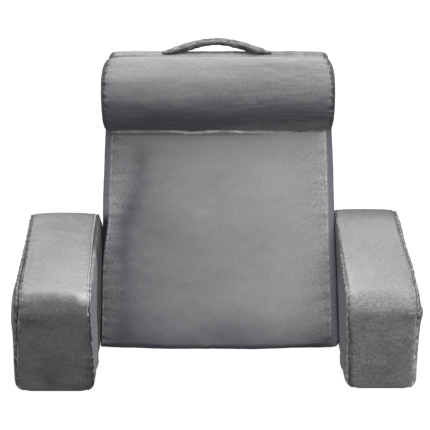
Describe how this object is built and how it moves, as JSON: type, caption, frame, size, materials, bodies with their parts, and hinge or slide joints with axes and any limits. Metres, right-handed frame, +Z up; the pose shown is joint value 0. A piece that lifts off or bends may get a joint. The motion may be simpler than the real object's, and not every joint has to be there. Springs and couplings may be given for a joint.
{
  "type": "reading pillow with arms",
  "caption": "Leaning foam wedge with a round neck roll, a carry handle and two box arms, for sitting up in bed or on a floor.",
  "frame": {"origin": "middle of the footprint, on the surface the pillow stands on", "axes": "+X across the pillow, towards the arm at the picture's right, +Y towards the back panel, +Z up"},
  "size_m": [0.7349, 0.5602, 0.5266],
  "materials": {
    "plush_cover": "short grey plush with a brushed, streaky pile",
    "seam_cloth": "the same plush, gathered into a narrow seam",
    "strap_cloth": "padded plush strap, stitched at its ends"
  },
  "bodies": {
    "root": {"back_wedge": "plush_cover", "neck_roll": "plush_cover", "roll_welt": "seam_cloth", "carry_handle": "strap_cloth", "arm_left": "plush_cover", "arm_right": "plush_cover"}
  },
  "joints": []
}
